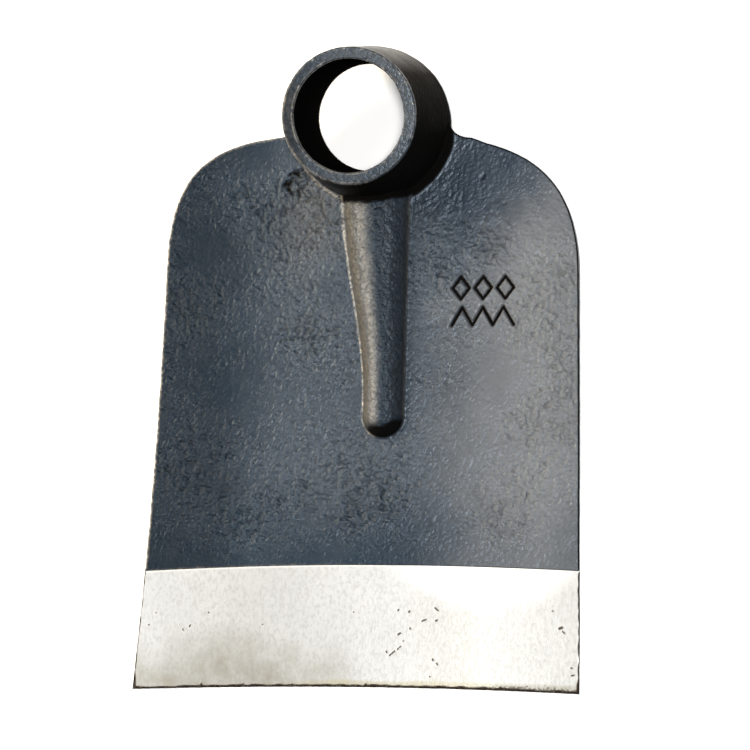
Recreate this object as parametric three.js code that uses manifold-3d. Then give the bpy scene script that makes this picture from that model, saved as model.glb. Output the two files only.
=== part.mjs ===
// Grub hoe head: a tapered eye collar set through the top of a broad steel blade, with a
// stiffening rib down the blade's face and a ground cutting edge along its bottom.
//
// Millimetres, +Z up. The head lies on its back: +Z points out of the worked face, towards the
// person swinging the hoe, +Y runs from the cutting edge to the eye, and +X is to the right.
// Design coordinates measure x from the eye's centre line, y from the cutting edge's left corner
// and z from the surface that the head lies on. The last section moves the origin to the middle
// of the bounding box's base.

import * as THREE from 'three';
import { mergeVertices } from 'three/addons/utils/BufferGeometryUtils.js';
import Module from 'manifold-3d';

const wasm = await Module();
wasm.setup();

// ---- driving dimensions ----

// Eye: a conical collar around a nearly straight bore, leaning towards the cutting edge.
const EYE_TILT = THREE.MathUtils.degToRad(15.2);
const EYE_DEPTH = 37.6;
const EYE_BACK = [0, 213, 7];
const BORE_RADIUS_FRONT = 20.3;
const BORE_RADIUS_BACK = 19.7;
const COLLAR_RADIUS_FRONT = 24.5;
const COLLAR_RADIUS_BACK = 29.5;
const COLLAR_CHAMFER = 0.9;

// The wall thickens towards the blade: at the back face the outer circle is off the bore's
// centre by this much to the right and towards the cutting edge.
const COLLAR_OFFSET = [1.2, -3.1];

// Blade: half widths and heights of the outline's corners.
const CORNER_LEFT = [-84.5, 0];
const CORNER_RIGHT = [80.4, 2];
const SIDE_LEFT = [-77.6, 158];
const SIDE_RIGHT = [78.5, 154];
const SHOULDER_LEFT = [-44, 205];
const SHOULDER_RIGHT = [44, 201.8];
const NECK_HEIGHT = 209;
const NECK_RADIUS = 7;

// Blade sections: thick at the eye, thin at the ground strip and thinner still at the edge.
const THICKNESS_EYE = 4.8;
const THICKNESS_GRIND = 2.3;
const THICKNESS_EDGE = 0.8;
const GRIND_HEIGHT = 44;
const FLAT_HALF_WIDTH = 45;
const DISH_RISE = 1.8;
const NECK_BEND_START = 165;
const NECK_BEND_RISE = 4;

// Rib: a rounded ridge that leans a little to the right on its way down.
const RIB_TOP = [2.6, 186];
const RIB_TIP = [7.3, 93.3];
const RIB_HALF_WIDTH_TOP = 12;
const RIB_HALF_WIDTH_TIP = 7.2;
const RIB_HEIGHT_TOP = 8;
const RIB_HEIGHT_TIP = 6;
const RIB_FOOT = 0.6;

// Clearance between neighbouring solids.
const GAP = 0.3;

// ---- solids ----

function solidOf(geometry) {
  const bare = geometry.clone();
  bare.deleteAttribute('normal');
  bare.deleteAttribute('uv');
  const merged = mergeVertices(bare, 1e-4);
  return new wasm.Manifold(new wasm.Mesh({
    numProp: 3,
    vertProperties: new Float32Array(merged.attributes.position.array),
    triVerts: new Uint32Array(merged.index.array),
  }));
}

function meshOf(solid, name, material) {
  const { vertProperties, triVerts } = solid.getMesh();
  const geometry = new THREE.BufferGeometry();
  geometry.setAttribute('position', new THREE.BufferAttribute(vertProperties, 3));
  geometry.setIndex(new THREE.BufferAttribute(triVerts, 1));
  geometry.computeVertexNormals();
  const mesh = new THREE.Mesh(geometry, material);
  mesh.name = name;
  return mesh;
}

// A closed sheet over a grid of columns and rows. place(i, j) gives [x, y, bottom z, top z].
function sheetSolid(columns, rows, place) {
  const across = columns + 1;
  const count = across * (rows + 1);
  const positions = new Float32Array(count * 2 * 3);
  for (let j = 0; j <= rows; j += 1) {
    for (let i = 0; i <= columns; i += 1) {
      const [x, y, bottom, top] = place(i / columns, j / rows);
      const k = j * across + i;
      positions.set([x, y, bottom], k * 3);
      positions.set([x, y, top], (count + k) * 3);
    }
  }
  const triangles = [];
  const quad = (a, b, c, d) => triangles.push(a, b, c, a, c, d);
  for (let j = 0; j < rows; j += 1) {
    for (let i = 0; i < columns; i += 1) {
      const k = j * across + i;
      quad(k, k + across, k + across + 1, k + 1);
      quad(count + k, count + k + 1, count + k + across + 1, count + k + across);
    }
  }
  for (let i = 0; i < columns; i += 1) {
    const far = rows * across + i;
    quad(i, i + 1, count + i + 1, count + i);
    quad(far + 1, far, count + far, count + far + 1);
  }
  for (let j = 0; j < rows; j += 1) {
    const near = j * across;
    const far = near + columns;
    quad(near + across, near, count + near, count + near + across);
    quad(far, far + across, count + far + across, count + far);
  }
  const geometry = new THREE.BufferGeometry();
  geometry.setAttribute('position', new THREE.BufferAttribute(positions, 3));
  geometry.setIndex(triangles);
  return solidOf(geometry);
}

const PRISM_BASE = -20;
const PRISM_HEIGHT = 80;
const CURVE_SEGMENTS = 14;

function prismSolid(shape) {
  const geometry = new THREE.ExtrudeGeometry(shape, {
    depth: PRISM_HEIGHT,
    bevelEnabled: false,
    curveSegments: CURVE_SEGMENTS,
  });
  return solidOf(geometry.translate(0, 0, PRISM_BASE));
}

// ---- blade surfaces ----

// Height of the blade's back above the surface that it lies on. The middle is flat, the two
// sides curl up a little, and the neck bends up to meet the tilted collar.
function backHeight(x, y) {
  const side = Math.max(0, Math.abs(x) - FLAT_HALF_WIDTH) / (-CORNER_LEFT[0] - FLAT_HALF_WIDTH);
  const neck = Math.max(0, y - NECK_BEND_START) / (NECK_HEIGHT - NECK_BEND_START);
  return DISH_RISE * side ** 2 + NECK_BEND_RISE * neck ** 2;
}

function plateThickness(y) {
  const up = THREE.MathUtils.clamp((y - GRIND_HEIGHT) / (NECK_BEND_START - GRIND_HEIGHT), 0, 1);
  return THREE.MathUtils.lerp(THICKNESS_GRIND, THICKNESS_EYE, up);
}

function edgeThickness(y) {
  const up = THREE.MathUtils.clamp(y / GRIND_HEIGHT, 0, 1.1);
  return THREE.MathUtils.lerp(THICKNESS_EDGE, THICKNESS_GRIND, up);
}

function faceHeight(x, y) {
  return backHeight(x, y) + plateThickness(y);
}

const SHEET_HALF_WIDTH = 90;
const SHEET_COLUMNS = 24;

function bladeSheet(lowY, highY, rows, thickness) {
  return sheetSolid(SHEET_COLUMNS, rows, (u, v) => {
    const x = THREE.MathUtils.lerp(-SHEET_HALF_WIDTH, SHEET_HALF_WIDTH, u);
    const y = THREE.MathUtils.lerp(lowY, highY, v);
    const back = backHeight(x, y);
    return [x, y, back, back + thickness(y)];
  });
}

// ---- outlines ----

const CUT_LINE_ARCH = 1.7;
const GRIND_LINE_ARCH = 3.2;
const GRIND_LINE_LEFT = 42.3;
const GRIND_LINE_RIGHT = 44.5;
const GRIND_LINE_REACH = 95;

// The whole blade: straight flaring sides, round shoulders, and a neck that runs into the
// collar's flanks with a small fillet on each side.
function bladeOutline() {
  const shape = new THREE.Shape();
  const neckRight = COLLAR_RADIUS_BACK + COLLAR_OFFSET[0] + 0.8;
  const neckLeft = COLLAR_OFFSET[0] - COLLAR_RADIUS_BACK - 0.8;
  const middleY = (CORNER_LEFT[1] + CORNER_RIGHT[1]) / 2;
  shape.moveTo(...CORNER_LEFT);
  shape.quadraticCurveTo(0, middleY + 2 * CUT_LINE_ARCH, ...CORNER_RIGHT);
  shape.quadraticCurveTo(79.6, 80, ...SIDE_RIGHT);
  shape.bezierCurveTo(77.6, 184, 64, 196, ...SHOULDER_RIGHT);
  shape.lineTo(neckRight + NECK_RADIUS, NECK_HEIGHT - 5);
  shape.quadraticCurveTo(neckRight, NECK_HEIGHT - 3.5, neckRight - 2, NECK_HEIGHT + 5);
  shape.lineTo(neckLeft + 2, NECK_HEIGHT + 5);
  shape.quadraticCurveTo(neckLeft, NECK_HEIGHT - 2.5, neckLeft - NECK_RADIUS, NECK_HEIGHT - 3);
  shape.lineTo(...SHOULDER_LEFT);
  shape.bezierCurveTo(-66, 201, -77.6, 190, ...SIDE_LEFT);
  shape.quadraticCurveTo(-78.4, 70, ...CORNER_LEFT);
  return shape;
}

// Everything below the grind line, moved down by a clearance.
function groundZone(clearance) {
  const shape = new THREE.Shape();
  const middle = (GRIND_LINE_LEFT + GRIND_LINE_RIGHT) / 2 + 2 * GRIND_LINE_ARCH;
  shape.moveTo(-GRIND_LINE_REACH, -GRIND_HEIGHT);
  shape.lineTo(GRIND_LINE_REACH, -GRIND_HEIGHT);
  shape.lineTo(GRIND_LINE_REACH, GRIND_LINE_RIGHT - clearance);
  shape.quadraticCurveTo(0, middle - clearance, -GRIND_LINE_REACH, GRIND_LINE_LEFT - clearance);
  return shape;
}

// ---- eye ----

// A round solid about the eye's axis, from a profile of [radius, distance in front of the back
// face]. offset slides its back circle sideways and leaves its front circle on the axis.
const EYE_SEGMENTS = 96;

function onEyeAxis(profile, offset = [0, 0]) {
  const points = profile.map(([radius, ahead]) => new THREE.Vector2(radius, ahead));
  const geometry = new THREE.LatheGeometry(points, EYE_SEGMENTS);
  geometry.rotateX(Math.PI / 2);
  const position = geometry.attributes.position;
  for (let i = 0; i < position.count; i += 1) {
    const share = 1 - position.getZ(i) / EYE_DEPTH;
    position.setX(i, position.getX(i) + offset[0] * share);
    position.setY(i, position.getY(i) + offset[1] * share);
  }
  geometry.rotateX(EYE_TILT);
  geometry.translate(...EYE_BACK);
  return solidOf(geometry);
}

// The collar's lowest rim is dressed flush with the blade's back.
function collarSolid() {
  const c = COLLAR_CHAMFER;
  const wall = onEyeAxis([
    [0, 0],
    [COLLAR_RADIUS_BACK - c, 0],
    [COLLAR_RADIUS_BACK, c],
    [COLLAR_RADIUS_FRONT, EYE_DEPTH - c],
    [COLLAR_RADIUS_FRONT - c, EYE_DEPTH],
    [0, EYE_DEPTH],
  ], COLLAR_OFFSET);
  const reach = 1;
  const bore = onEyeAxis([
    [0, -reach],
    [BORE_RADIUS_BACK + c + reach, -reach],
    [BORE_RADIUS_BACK, c],
    [BORE_RADIUS_FRONT, EYE_DEPTH - c],
    [BORE_RADIUS_FRONT + c + reach, EYE_DEPTH + reach],
    [0, EYE_DEPTH + reach],
  ]);
  const below = new THREE.BoxGeometry(100, 100, 10).translate(0, EYE_BACK[1], -5);
  return wall.subtract(bore).subtract(solidOf(below));
}

// The room that the collar takes from its neighbours, run out past both of its faces.
function collarRoom() {
  const reach = 20;
  const flare = (COLLAR_RADIUS_BACK - COLLAR_RADIUS_FRONT) / EYE_DEPTH;
  return onEyeAxis([
    [0, -reach],
    [COLLAR_RADIUS_BACK + GAP, -reach],
    [COLLAR_RADIUS_BACK + GAP, 0],
    [COLLAR_RADIUS_FRONT + GAP - flare * reach, EYE_DEPTH + reach],
    [0, EYE_DEPTH + reach],
  ], COLLAR_OFFSET);
}

// ---- rib ----

const RIB_COLUMNS = 14;
const RIB_ROWS = 26;

function ribSolid() {
  const length = RIB_TOP[1] - RIB_TIP[1];
  return sheetSolid(RIB_COLUMNS, RIB_ROWS, (u, v) => {
    const y = RIB_TIP[1] + 0.1 + (length + 4) * v ** 1.5;
    const up = Math.min(1, (y - RIB_TIP[1]) / length);
    const spread = THREE.MathUtils.smoothstep(up, 0.16, 1);
    const centre = THREE.MathUtils.lerp(RIB_TIP[0], RIB_TOP[0], spread);
    const straight = THREE.MathUtils.lerp(RIB_HALF_WIDTH_TIP, RIB_HALF_WIDTH_TOP, spread);
    const beyondTip = Math.max(0, 1 - (y - RIB_TIP[1]) / RIB_HALF_WIDTH_TIP);
    const round = Math.sqrt(1 - beyondTip ** 2);
    const side = 2 * u - 1;
    const x = centre + side * straight * round;
    const crown = Math.sqrt(Math.max(0, 1 - Math.abs(side) ** 2.2));
    const height = THREE.MathUtils.lerp(RIB_HEIGHT_TIP, RIB_HEIGHT_TOP, up) * round;
    const foot = faceHeight(x, y) + GAP;
    return [x, y, foot, foot + RIB_FOOT + height * crown];
  });
}

// ---- materials ----

const darkSteel = new THREE.MeshStandardMaterial({
  color: 0x3b434e,
  roughness: 0.5,
  metalness: 0.6,
});
const brightSteel = new THREE.MeshStandardMaterial({
  color: 0xc9c8c4,
  roughness: 0.35,
  metalness: 1.0,
});

// ---- assembly ----

const outline = prismSolid(bladeOutline());
const room = collarRoom();

const collar = collarSolid();
const plate = bladeSheet(GRIND_HEIGHT - 12, NECK_HEIGHT + 12, 44, plateThickness)
  .intersect(outline)
  .subtract(prismSolid(groundZone(0)))
  .subtract(room);
const edge = bladeSheet(-6, GRIND_HEIGHT + 6, 14, edgeThickness)
  .intersect(outline)
  .intersect(prismSolid(groundZone(GAP)));
const rib = ribSolid().subtract(room);

const head = new THREE.Group();
head.add(
  meshOf(collar, 'eye_collar', darkSteel.clone()),
  meshOf(plate, 'blade_plate', darkSteel.clone()),
  meshOf(rib, 'stiffening_rib', darkSteel.clone()),
  meshOf(edge, 'cutting_edge', brightSteel),
);

// Stand the origin at the middle of the bounding box's base.
const bounds = new THREE.Box3().setFromObject(head);
const middle = bounds.getCenter(new THREE.Vector3());
head.position.set(-middle.x, -middle.y, -bounds.min.z);

export default head;
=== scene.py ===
"""Grub hoe head: dark forged steel with a ground cutting edge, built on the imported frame.

Shapes are worked out in the part's design coordinates, in millimetres: x from the eye's centre
line, y from the cutting edge's left corner, z from the surface that the head lies on. Meshes are
moved into the row frame, in metres, when they are made.
"""
import itertools
import math

import bpy
import numpy as np
from mathutils import Matrix, Quaternion, Vector
from mathutils.geometry import delaunay_2d_cdt


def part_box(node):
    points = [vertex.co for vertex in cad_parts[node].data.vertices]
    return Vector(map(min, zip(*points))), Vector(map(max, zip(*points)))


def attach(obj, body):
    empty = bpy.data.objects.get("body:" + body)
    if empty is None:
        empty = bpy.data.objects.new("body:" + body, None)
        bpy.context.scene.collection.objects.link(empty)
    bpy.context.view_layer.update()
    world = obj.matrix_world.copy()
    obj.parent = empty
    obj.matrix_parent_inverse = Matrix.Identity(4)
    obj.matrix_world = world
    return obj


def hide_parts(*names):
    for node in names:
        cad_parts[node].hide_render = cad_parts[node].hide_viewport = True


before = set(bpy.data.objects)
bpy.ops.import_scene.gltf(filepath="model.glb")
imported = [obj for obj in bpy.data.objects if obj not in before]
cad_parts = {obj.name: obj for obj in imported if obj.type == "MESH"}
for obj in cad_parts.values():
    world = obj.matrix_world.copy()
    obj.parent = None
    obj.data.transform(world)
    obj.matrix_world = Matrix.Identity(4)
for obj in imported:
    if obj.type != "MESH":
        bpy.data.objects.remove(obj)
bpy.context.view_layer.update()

MM = 0.001

# ---- driving dimensions, as in the part ----

EYE_TILT = math.radians(15.2)
EYE_DEPTH = 37.6
EYE_BACK = np.array([0.0, 213.0, 7.0])
BORE_FRONT = 20.3
BORE_BACK = 19.7
COLLAR_FRONT = 24.5
COLLAR_BACK = 29.5
COLLAR_OFFSET = np.array([1.2, -3.1])
CORNER_LEFT = (-84.5, 0.0)
CORNER_RIGHT = (80.4, 2.0)
SIDE_LEFT = (-77.6, 158.0)
SIDE_RIGHT = (78.5, 154.0)
SHOULDER_LEFT = (-44.0, 205.0)
SHOULDER_RIGHT = (44.0, 201.8)
NECK_HEIGHT = 209.0
NECK_RADIUS = 7.0
THICKNESS_EYE = 4.8
THICKNESS_GRIND = 2.3
THICKNESS_EDGE = 0.8
GRIND_HEIGHT = 44.0
FLAT_HALF_WIDTH = 45.0
DISH_RISE = 1.8
NECK_BEND_START = 165.0
NECK_BEND_RISE = 4.0
CUT_LINE_ARCH = 1.7
GRIND_LINE_ARCH = 3.2
GRIND_LINE_LEFT = 42.3
GRIND_LINE_RIGHT = 44.5
GRIND_LINE_REACH = 95.0
RIB_TOP = (2.6, 186.0)
RIB_TIP = (7.3, 93.3)
RIB_HALF_WIDTH_TOP = 12.0
RIB_HALF_WIDTH_TIP = 7.2
RIB_HEIGHT_TOP = 8.6
RIB_HEIGHT_TIP = 6.6

# Where design coordinates lie in the row frame: the cutting edge's box starts at its left corner.
edge_low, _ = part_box("cutting_edge")
ROW_SHIFT = np.array([edge_low.x / MM - CORNER_LEFT[0], edge_low.y / MM - CORNER_LEFT[1], 0.0])


# ---- small maths ----

def lerp(a, b, t):
    return a + (b - a) * t


def smooth(low, high, value):
    t = np.clip((value - low) / (high - low), 0.0, 1.0)
    return t * t * (3 - 2 * t)


GRADIENTS = np.random.default_rng(11).normal(size=(4096, 3))
GRADIENTS /= np.linalg.norm(GRADIENTS, axis=1)[:, None]


def noise(points, size, seed):
    """Smooth noise, about -1 to 1, whose bumps are roughly size millimetres across."""
    scaled = points / size
    cell = np.floor(scaled).astype(np.int64)
    inside = scaled - cell
    fade = inside ** 3 * (inside * (inside * 6 - 15) + 10)
    total = np.zeros(len(points))
    for corner in itertools.product((0, 1), repeat=3):
        key = (cell + corner) * (73856093, 19349663, 83492791)
        key = key[:, 0] ^ key[:, 1] ^ key[:, 2] ^ (seed * 2654435761)
        slope = GRADIENTS[(key ^ (key >> 15)) & 4095]
        share = np.prod(np.where(corner, fade, 1 - fade), axis=1)
        total += share * ((inside - corner) * slope).sum(axis=1)
    return total * 1.6


def flat_points(x, y):
    return np.stack([x, y, np.zeros_like(x)], axis=1)


def leaning(points, squeeze, lean):
    """Flat points that draw noise out along y, by 1 / squeeze, and make its bumps lean over."""
    y = points[:, 1]
    return points * (1, squeeze, 1) + flat_points(lean * y, 0 * y)


def spot(x, y, middle, reach):
    """1 at a soft round or oval spot's middle, falling to 0 around it."""
    return np.exp(-((x - middle[0]) / reach[0]) ** 2 - ((y - middle[1]) / reach[1]) ** 2)


def band(value, middle, reach):
    """1 where a value is at the middle of a soft band, falling to 0 on both sides."""
    return np.exp(-((value - middle) / reach) ** 2)


def arched(t, left, right, arch):
    """Height at share t of the way along a shallow arch between two heights."""
    middle = (left + right) / 2 + 2 * arch
    return (1 - t) ** 2 * left + 2 * t * (1 - t) * middle + t ** 2 * right


def segment_distance(x, y, start, end):
    ax, ay = start
    dx, dy = end[0] - ax, end[1] - ay
    along = np.clip(((x - ax) * dx + (y - ay) * dy) / (dx * dx + dy * dy), 0, 1)
    return np.hypot(x - ax - along * dx, y - ay - along * dy)


# ---- the eye's coordinates ----

def to_eye(points):
    """Design points as sideways, up and ahead of the eye's back centre, along its own axis."""
    rel = points - EYE_BACK
    up = rel[:, 1] * math.cos(EYE_TILT) + rel[:, 2] * math.sin(EYE_TILT)
    ahead = rel[:, 2] * math.cos(EYE_TILT) - rel[:, 1] * math.sin(EYE_TILT)
    return rel[:, 0], up, ahead


def from_eye(side, up, ahead):
    y = EYE_BACK[1] + up * math.cos(EYE_TILT) - ahead * math.sin(EYE_TILT)
    z = EYE_BACK[2] + up * math.sin(EYE_TILT) + ahead * math.cos(EYE_TILT)
    return np.stack([EYE_BACK[0] + side, y, z], axis=1)


def collar_distance(points):
    """How far design points lie outside the collar's outer wall."""
    side, up, ahead = to_eye(points)
    share = np.clip(1 - ahead / EYE_DEPTH, 0, 1)
    radius = lerp(COLLAR_FRONT, COLLAR_BACK, share)
    return np.hypot(side - COLLAR_OFFSET[0] * share, up - COLLAR_OFFSET[1] * share) - radius


# ---- blade surfaces ----

def back_height(x, y):
    side = np.maximum(0, np.abs(x) - FLAT_HALF_WIDTH) / (-CORNER_LEFT[0] - FLAT_HALF_WIDTH)
    neck = np.maximum(0, y - NECK_BEND_START) / (NECK_HEIGHT - NECK_BEND_START)
    return DISH_RISE * side ** 2 + NECK_BEND_RISE * neck ** 2


def plate_thickness(y):
    up = np.clip((y - GRIND_HEIGHT) / (NECK_BEND_START - GRIND_HEIGHT), 0, 1)
    return lerp(THICKNESS_GRIND, THICKNESS_EYE, up)


def edge_thickness(y):
    return lerp(THICKNESS_EDGE, THICKNESS_GRIND, np.clip(y / GRIND_HEIGHT, 0, 1.1))


# Patches where the forge scale came off rough, as (x, y, radius), and others rubbed smooth.
ROUGH_PATCHES = (
    (-45, 183, 11), (-19, 176, 14), (-33, 170, 12), (-71, 139, 14), (-64, 84, 16), (-42, 62, 15),
    (-6, 74, 20), (71, 152, 10), (46, 163, 9), (24, 156, 9), (68, 98, 14), (-20, 132, 12), (54, 66, 14),
    (-26, 187, 7), (62, 136, 11), (70, 124, 12),
)
SMOOTH_PATCHES = ((-42, 199, 9), (48, 116, 12), (40, 192, 16), (-62, 165, 8), (-50, 112, 10))


def scale_roughness(x, y):
    """How rough the forge scale is, from 0 to 1."""
    rough = 0.38 + 0.22 * noise(flat_points(x, y), 24, 21)
    for px, py, radius in ROUGH_PATCHES:
        rough += 0.62 * spot(x, y, (px, py), (radius, radius))
    for px, py, radius in SMOOTH_PATCHES:
        rough *= 1 - 0.75 * spot(x, y, (px, py), (radius, radius))
    rough *= 1 + 0.55 * noise(flat_points(x, y), 6.5, 22)
    rough *= 0.35 + 0.65 * smooth(GRIND_HEIGHT, GRIND_HEIGHT + 22, y)
    return np.clip(rough, 0.06, 1)


# Cracks and knocks that stand out, as (start, end, half width, depth).
GOUGES = (
    ((-28, 186), (-27, 184), 1.2, 0.7), ((-24.5, 189.5), (-24, 188.5), 0.9, 0.6),
    ((-19.5, 185.5), (-18, 178.5), 0.65, 0.5), ((-18, 178.5), (-14.5, 173), 0.6, 0.45),
    ((-13, 173), (-11.5, 175), 0.7, 0.5), ((-15, 170), (-14.5, 169), 0.8, 0.5),
    ((-32.5, 180.5), (-31.5, 177.5), 0.8, 0.5), ((-41, 179), (-40.5, 174.5), 0.75, 0.5),
    ((-48, 188.5), (-46.5, 184), 0.75, 0.5), ((-45.5, 180), (-43.5, 180), 0.7, 0.45),
    ((-34.5, 190.5), (-35.5, 186.5), 0.7, 0.35), ((-21.5, 152.5), (-20.5, 148.5), 0.7, 0.3),
    ((51, 179), (51.5, 179.5), 0.7, 0.4), ((42, 189), (43, 190), 0.8, 0.5),
    ((35, 185), (35, 175.5), 0.6, 0.22), ((35, 175.5), (36.5, 169), 0.6, 0.25),
    ((58.5, 172), (60, 173), 0.8, 0.4), ((-72, 139), (-71.5, 140), 0.9, 0.5),
    ((-56.5, 148), (-56, 149), 0.7, 0.45), ((-71, 150.5), (-70.5, 151), 0.8, 0.4),
)
# Lumps and soft creases beside them, as (start, end, half width, height).
RAISED_MARKS = (
    ((-24, 185.5), (-23, 184), 1.1, 0.45), ((-30.5, 181), (-30, 178), 1.0, 0.25),
    ((-39, 178), (-39, 174.5), 1.0, 0.25), ((27, 175.5), (32, 183), 1.4, 0.12),
    ((16, 158), (27, 175.5), 1.8, 0.10),
)
DENT_ROW_X = 45.4
DENT_ROW_LOW = 146.5
DENT_ROW_HIGH = 172.5
DENT_ROW_COUNT = 11
SCAR_MIDDLE = (-26.5, 188.0)
SCAR_RADIUS = 4.9


def groove(distance, half_width):
    """1 on a groove's middle line, falling smoothly to 0 at its lip."""
    return smooth(0, 1, 1 - distance / half_width)


def peaks_only(value, quiet):
    """Keeps a noise's peaks and hollows, and flattens what lies between them."""
    return np.sign(value) * np.maximum(0, np.abs(value) - quiet)


def scar(x, y):
    """A fold torn open at the collar's left foot: a broken, curved cleft round a lumpy floor."""
    points = flat_points(x, y)
    dx = x - SCAR_MIDDLE[0] + 1.5 * noise(points, 3.4, 91) + 0.8 * noise(points, 1.4, 96)
    dy = y - SCAR_MIDDLE[1] + 1.5 * noise(points, 3.4, 92) + 0.8 * noise(points, 1.4, 97)
    radius = np.hypot(dx, dy)
    turn = np.degrees(np.arctan2(dy, dx)) % 360
    cleft = band(radius, SCAR_RADIUS, 0.95) * smooth(40, 80, turn) * smooth(250, 200, turn)
    cleft *= smooth(-0.45, 0.15, noise(points, 2.4, 94))
    bowl = smooth(SCAR_RADIUS + 2.0, SCAR_RADIUS - 1.5, radius)
    lumps = peaks_only(noise(points, 2.2, 93) + 0.6 * noise(points, 1.2, 95), 0.06)
    pools = smooth(0.15, 0.55, -lumps) * bowl
    return bowl * (1.15 * lumps - 0.35) - 1.2 * cleft, np.maximum(cleft, 0.45 * pools)


# A punched mark of no maker: three diamonds over a zigzag.
MARK_MIDDLE = (43.4, 142.7)
MARK_HALF = (12.4, 9.8)
MARK_STROKE = 0.95
MARK_DEPTH = 0.6


def mark_strokes():
    cx, cy = MARK_MIDDLE
    strokes = []
    for column in (-1, 0, 1):
        middle = (cx + column * 8.2, cy + 5.4)
        tips = [(middle[0] + 3.1 * a, middle[1] + 4.1 * b) for a, b in ((1, 0), (0, 1), (-1, 0), (0, -1))]
        strokes += list(zip(tips, tips[1:] + tips[:1]))
    zigzag = [(cx - 11.4 + 3.8 * k, cy - 5.1 + (3.3 if k % 2 else -3.3)) for k in range(7)]
    return strokes + list(zip(zigzag, zigzag[1:]))


def mark_depth(x, y):
    near = (np.abs(x - MARK_MIDDLE[0]) < MARK_HALF[0] + 2) & (np.abs(y - MARK_MIDDLE[1]) < MARK_HALF[1] + 2)
    depth = np.zeros_like(x)
    if near.any():
        distance = np.min([segment_distance(x[near], y[near], a, b) for a, b in mark_strokes()], axis=0)
        depth[near] = smooth(0, 0.6, 1 - distance / MARK_STROKE)
        depth[near] -= 0.22 * band(distance, 1.25, 0.32)
    return depth


PIT_COUNT = 160


def scattered_pits():
    """Small pits over the plate, thicker where the scale is rough, as (x, y, radius, depth)."""
    draw = np.random.default_rng(5)
    x = draw.uniform(-82, 80, PIT_COUNT * 3)
    y = draw.uniform(46, 205, PIT_COUNT * 3)
    keep = np.where(draw.random(len(x)) < scale_roughness(x, y) * 0.8)[0][:PIT_COUNT]
    radius = draw.uniform(0.55, 1.25, len(keep))
    depth = draw.uniform(0.10, 0.30, len(keep))
    return list(zip(x[keep], y[keep], radius, depth))


PITS = scattered_pits()


def plate_relief(x, y):
    """What hammer, scale and knocks add to the face's height, and where it is hollow and deep black."""
    points = flat_points(x, y)
    rough = scale_roughness(x, y)
    calm = smooth(GRIND_HEIGHT, GRIND_HEIGHT + 12, y)
    relief = calm * (0.30 * noise(points, 46, 1) + 0.16 * noise(points, 17, 2) + 0.05 * noise(points, 8, 6))
    slanted = leaning(points, 0.8, 0.3)
    grain = peaks_only(0.6 * noise(slanted, 2.7, 3) + 0.5 * noise(slanted, 1.7, 4), 0.10)
    dents = -np.maximum(0, noise(points, 2.3, 7) - 0.14)
    relief += rough * (0.58 * grain + 0.12 * noise(points, 6.5, 5)) + 0.95 * rough ** 2 * dents
    hollow = 0.6 * smooth(0.08, 0.40, rough * (-0.6 * grain - rough * dents))
    deep = np.zeros_like(x)
    warp_x, warp_y = x + 0.9 * noise(points, 2.6, 8), y + 0.9 * noise(points, 2.6, 9)
    for start, end, half_width, depth in GOUGES:
        cut = groove(segment_distance(warp_x, warp_y, start, end), half_width)
        relief -= depth * cut
        hollow = np.maximum(hollow, cut * min(1, depth * 2))
        deep = np.maximum(deep, cut * min(0.9, depth * 1.5))
    for start, end, half_width, height in RAISED_MARKS:
        relief += height * groove(segment_distance(warp_x, warp_y, start, end), half_width)
    torn, cleft = scar(x, y)
    relief += torn
    deep = np.maximum(deep, np.clip(1.6 * cleft, 0, 1))
    for k in range(DENT_ROW_COUNT):
        dent_y = lerp(DENT_ROW_LOW, DENT_ROW_HIGH, k / (DENT_ROW_COUNT - 1))
        dent_x = DENT_ROW_X + 0.7 * math.sin(k * 2.3)
        cut = groove(np.hypot(x - dent_x, y - dent_y), 1.15)
        relief -= (0.2 + 0.1 * math.sin(k * 1.7)) * cut
        hollow = np.maximum(hollow, 0.6 * cut)
    for px, py, radius, depth in PITS:
        near = (np.abs(x - px) < radius) & (np.abs(y - py) < radius)
        if near.any():
            cut = groove(np.hypot(x[near] - px, y[near] - py), radius)
            relief[near] -= depth * cut
            hollow[near] = np.maximum(hollow[near], cut * depth * 2.5)
    mark = mark_depth(x, y)
    relief -= MARK_DEPTH * mark
    return relief, hollow, np.maximum(deep, smooth(0.45, 0.95, mark))


FILLET_REACH = 1.5
FILLET_RISE = 0.9
FLARE_REACH = 3.4
FLARE_RISE = 3.0
FLARE_TURN = math.radians(-57)
FOOT_RIDGE_START = (-26.5, 195.5)
FOOT_RIDGE_END = (-9.5, 181.5)
FOOT_RIDGE_HEIGHT = 0.55


def flare(points):
    """1 at the collar's lower right, where its foot spreads furthest over the face, and 0 elsewhere."""
    side, up, _ = to_eye(points)
    turn = np.arctan2(up - COLLAR_OFFSET[1], side - COLLAR_OFFSET[0])
    return smooth(0.45, 0.80, np.cos(turn - FLARE_TURN))


def collar_fillet(x, y, z):
    """The rise of the face where it turns up into the collar's wall, its ridge, worn and painted as catching
    the light, and the painted shade where the face meets the wall.
    """
    points = np.stack([x, y, z], axis=1)
    distance = np.maximum(0, collar_distance(points))
    flared = flare(points)
    reach = lerp(FILLET_REACH, FLARE_REACH, flared)
    rise = lerp(FILLET_RISE, FLARE_RISE, flared) * np.maximum(0, 1 - distance / reach) ** 2
    along = segment_distance(x, y, FOOT_RIDGE_START, FOOT_RIDGE_END)
    ridge = band(distance - 0.2 * noise(points, 5, 12), 1.0, 0.5) * smooth(6.5, 4.5, along)
    edge = lerp(0.65, 2.9, flared) + 0.3 * flared * noise(points, 5, 13)
    # Painted shade: a black band along the collar's foot, widest at its lower right.
    foot_shade = smooth(edge + 0.4, edge - 0.4, distance)
    return rise + FOOT_RIDGE_HEIGHT * ridge, ridge, foot_shade


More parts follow.
